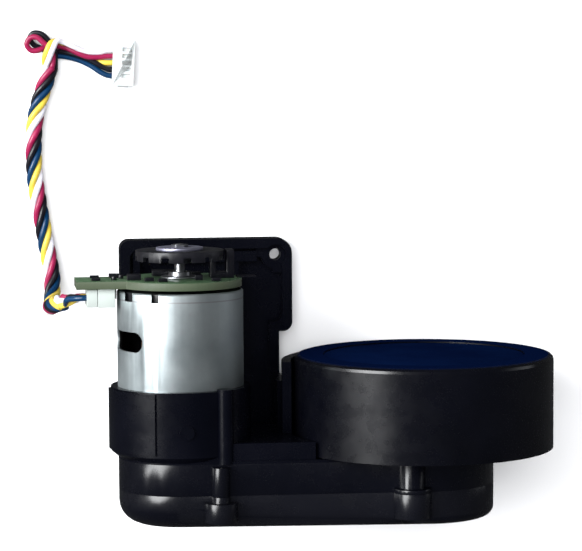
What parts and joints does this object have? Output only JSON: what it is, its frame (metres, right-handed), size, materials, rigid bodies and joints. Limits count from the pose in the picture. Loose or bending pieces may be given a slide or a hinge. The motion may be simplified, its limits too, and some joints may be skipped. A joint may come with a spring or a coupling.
{
  "type": "lidar scanner module",
  "caption": "Rotating drum scanner on a flat case, belt-driven by an upright motor with an encoder board, on a flanged back plate, with a twisted wire loom.",
  "frame": {"origin": "middle of the module's footprint, loom left out, at the level of the back plate's rear face; the module lies on that face", "axes": "+X from the motor to the drum, +Y along the motor and drum axes towards the drum's top face, +Z away from the back plate"},
  "size_m": [0.1156, 0.1089, 0.0608],
  "materials": {
    "black_gloss": "glossy moulded black ABS with a faint blue cast",
    "drum_gloss": "glossy infrared-pass black plastic",
    "disc_black": "smooth black insert",
    "black_matte": "satin black plastic",
    "board_green": "pale green solder mask with fibreglass edge",
    "board_green_dark": "green solder mask",
    "zinc": "bright zinc plate, smooth",
    "steel": "plain steel",
    "bearing_steel": "ground bearing steel",
    "alu_plate": "bright thin plate",
    "ferrite": "sintered grey-black",
    "copper": "enamelled copper wire",
    "bronze": "sintered bronze",
    "carbon": "carbon",
    "belt": "matt black rubber",
    "nylon_white": "white nylon, slightly translucent",
    "pulley_pom": "natural acetal",
    "tin": "tinned contact",
    "lens": "coated glass",
    "brass": "turned brass",
    "wire_mix": "five pvc insulated wires: yellow, white, magenta-red, black and dark blue",
    "chip_black": "moulded component black",
    "parts_mix": "small surface-mount parts, dark bodies and tin ends"
  },
  "bodies": {
    "base": {"lower_case": "black_gloss", "upper_case": "black_gloss", "main_frame": "black_gloss", "case_screws": "steel", "motor_can": "zinc", "motor_endbell": "black_matte", "motor_magnets": "ferrite", "front_bush": "bronze", "rear_bush": "bronze", "brushes": "carbon", "terminals": "tin", "motor_screws": "steel", "encoder_board": "board_green", "board_collar": "steel", "opto_sensor": "chip_black", "board_parts": "parts_mix", "wire_header": "nylon_white", "header_pins": "tin", "spindle": "steel", "spindle_clip": "steel", "race_spacer": "steel", "lower_inner_race": "bearing_steel", "upper_inner_race": "bearing_steel", "base_coil": "copper", "drive_belt": "belt", "board_plug": "nylon_white", "board_leads": "wire_mix", "loom": "wire_mix", "connector_leads": "wire_mix", "loom_connector": "nylon_white", "connector_contacts": "tin"},
    "rotor": {"motor_shaft": "steel", "armature_core": "steel", "windings": "copper", "commutator": "bronze", "motor_pulley": "pulley_pom", "encoder_cup": "black_matte", "encoder_plate": "alu_plate", "shaft_nut": "steel"},
    "turret": {"turret_cover": "drum_gloss", "turret_disc": "disc_black", "turret_base": "black_matte", "turret_pulley": "pulley_pom", "lower_outer_race": "bearing_steel", "upper_outer_race": "bearing_steel", "bearing_balls": "bearing_steel", "turret_coil": "copper", "optics_chassis": "black_matte", "laser_barrel": "brass", "laser_lens": "lens", "receiver_barrel": "black_matte", "receiver_lens": "lens", "sensor_board": "board_green_dark", "turret_board": "board_green_dark", "turret_screws": "steel", "balance_weight": "steel"}
  },
  "joints": [
    {"name": "turret_spin", "type": "hinge", "parent": "base", "child": "turret", "pos_m": [0.02415, -0.0056, 0.032], "axis": [0, 1, 0], "continuous": true},
    {"name": "motor_spin", "type": "hinge", "parent": "base", "child": "rotor", "pos_m": [-0.03005, 0.0044, 0.032], "axis": [0, 1, 0], "continuous": true}
  ],
  "couplings": [
    {"joint": "motor_spin", "follows": "turret_spin", "ratio": 3}
  ]
}
